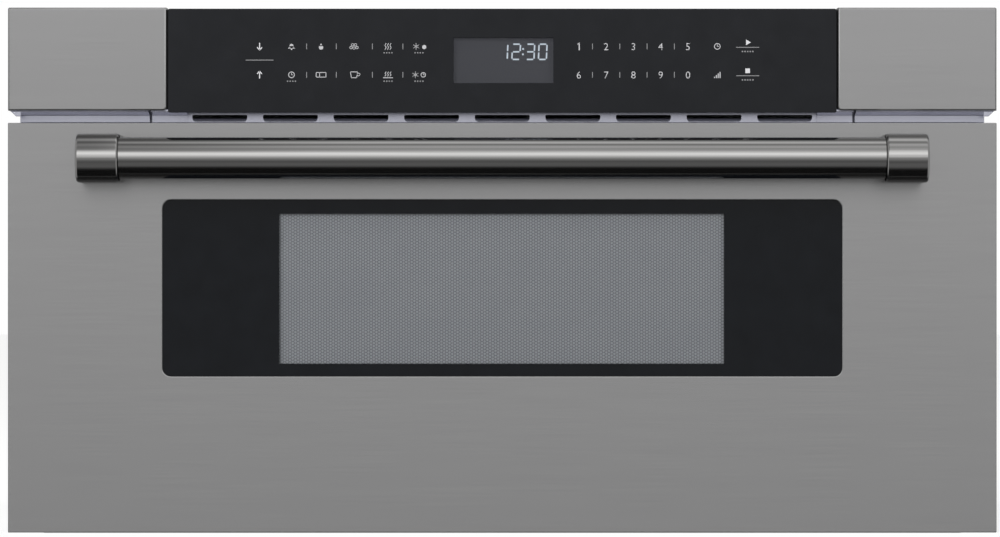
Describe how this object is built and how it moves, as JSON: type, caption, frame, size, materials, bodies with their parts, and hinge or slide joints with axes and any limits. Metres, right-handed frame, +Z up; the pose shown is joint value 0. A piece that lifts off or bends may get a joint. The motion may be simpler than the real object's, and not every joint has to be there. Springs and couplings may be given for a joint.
{
  "type": "microwave drawer",
  "caption": "Built-in microwave oven shaped as a pull-out drawer: steel front with window and bar handle under a fixed touch panel, on telescopic slides with a rack and pinion drive.",
  "frame": {"origin": "on the underside of the base plate, at mid width, in the plane where the front flange's back meets the cabinet's face", "axes": "+X to the right as one faces the appliance, +Y to its back, +Z up"},
  "size_m": [0.759, 0.6838, 0.405],
  "materials": {
    "brushed_steel": "stainless, brushed along its length",
    "handle_steel": "stainless, finely polished",
    "painted_sheet": "satin grey paint",
    "galvanised_sheet": "galvanised, dull",
    "slide_steel": "bright zinc plate",
    "enamel": "baked enamel, light grey",
    "control_glass": "black behind, glossy",
    "door_glass": "dark, glossy, with a clear window",
    "clear_glass": "clear",
    "display": "smoked filter",
    "screen_steel": "perforated, dark grey",
    "ceramic": "smooth",
    "black_plastic": "moulded",
    "white_plastic": "moulded",
    "gear_nylon": "moulded",
    "circuit_board": "green solder mask",
    "aluminium": "bare",
    "core_iron": "varnished"
  },
  "bodies": {
    "chassis": {"base_plate": "galvanised_sheet", "right_side_panel": "galvanised_sheet", "left_side_panel": "galvanised_sheet", "rear_panel": "galvanised_sheet", "cord_grommet": "black_plastic", "top_cover": "galvanised_sheet", "front_frame": "painted_sheet", "oven_cavity": "enamel", "right_slide_bracket": "galvanised_sheet", "left_slide_bracket": "galvanised_sheet", "right_outer_rail": "slide_steel", "left_outer_rail": "slide_steel", "rack_guide": "white_plastic", "motor_bracket": "galvanised_sheet", "drive_motor": "black_plastic", "right_door_switch": "black_plastic", "left_door_switch": "black_plastic", "right_end_cap": "brushed_steel", "left_end_cap": "brushed_steel", "control_housing": "black_plastic", "control_glass": "control_glass", "display_module": "display", "control_board": "circuit_board", "vent_grille": "painted_sheet", "right_vent_strip": "painted_sheet", "left_vent_strip": "painted_sheet", "exhaust_duct": "galvanised_sheet", "waveguide": "galvanised_sheet", "magnetron": "aluminium", "stirrer_cover": "white_plastic", "stirrer_motor": "galvanised_sheet", "hv_transformer": "core_iron", "hv_capacitor": "aluminium", "fan_shroud": "black_plastic", "fan_motor": "galvanised_sheet", "oven_lamp": "white_plastic", "filter_board": "circuit_board"},
    "drawer": {"front_skin": "brushed_steel", "door_glass": "door_glass", "shield_screen": "screen_steel", "door_frame": "galvanised_sheet", "inner_panel": "enamel", "inner_window": "clear_glass", "handle_bar": "handle_steel", "right_handle_post": "handle_steel", "left_handle_post": "handle_steel", "drawer_tub": "enamel", "ceramic_tray": "ceramic", "right_latch_hook": "galvanised_sheet", "left_latch_hook": "galvanised_sheet", "right_inner_rail": "slide_steel", "left_inner_rail": "slide_steel", "drive_rack": "gear_nylon"},
    "right_middle": {"right_middle_rail": "slide_steel"},
    "left_middle": {"left_middle_rail": "slide_steel"},
    "pinion": {"drive_pinion": "gear_nylon"},
    "stirrer": {"stirrer": "aluminium"},
    "fan": {"fan_blade": "white_plastic"},
    "right_plunger": {"right_switch_plunger": "white_plastic"},
    "left_plunger": {"left_switch_plunger": "white_plastic"}
  },
  "joints": [
    {"name": "drawer_slide", "type": "slide", "parent": "chassis", "child": "drawer", "axis": [0, -1, 0], "range_m": [0, 0.4]},
    {"name": "right_middle_slide", "type": "slide", "parent": "chassis", "child": "right_middle", "axis": [0, -1, 0], "range_m": [0, 0.2]},
    {"name": "left_middle_slide", "type": "slide", "parent": "chassis", "child": "left_middle", "axis": [0, -1, 0], "range_m": [0, 0.2]},
    {"name": "pinion_spin", "type": "hinge", "parent": "chassis", "child": "pinion", "pos_m": [-0.1, 0.03, 0.026], "axis": [1, 0, 0], "range_deg": [0, 1274]},
    {"name": "stirrer_spin", "type": "hinge", "parent": "chassis", "child": "stirrer", "pos_m": [0, 0.235, 0.281], "axis": [0, 0, 1], "continuous": true},
    {"name": "fan_spin", "type": "hinge", "parent": "chassis", "child": "fan", "pos_m": [0.2955, 0.56, 0.205], "axis": [0, 1, 0], "continuous": true},
    {"name": "right_plunger_press", "type": "slide", "parent": "chassis", "child": "right_plunger", "axis": [0, 1, 0], "range_m": [0, 0.0015], "stiffness_N_per_m": 400},
    {"name": "left_plunger_press", "type": "slide", "parent": "chassis", "child": "left_plunger", "axis": [0, 1, 0], "range_m": [0, 0.0015], "stiffness_N_per_m": 400}
  ],
  "couplings": [
    {"joint": "right_middle_slide", "follows": "drawer_slide", "ratio": 0.5},
    {"joint": "left_middle_slide", "follows": "drawer_slide", "ratio": 0.5},
    {"joint": "pinion_spin", "follows": "drawer_slide", "rad_per_m": 55.556}
  ]
}
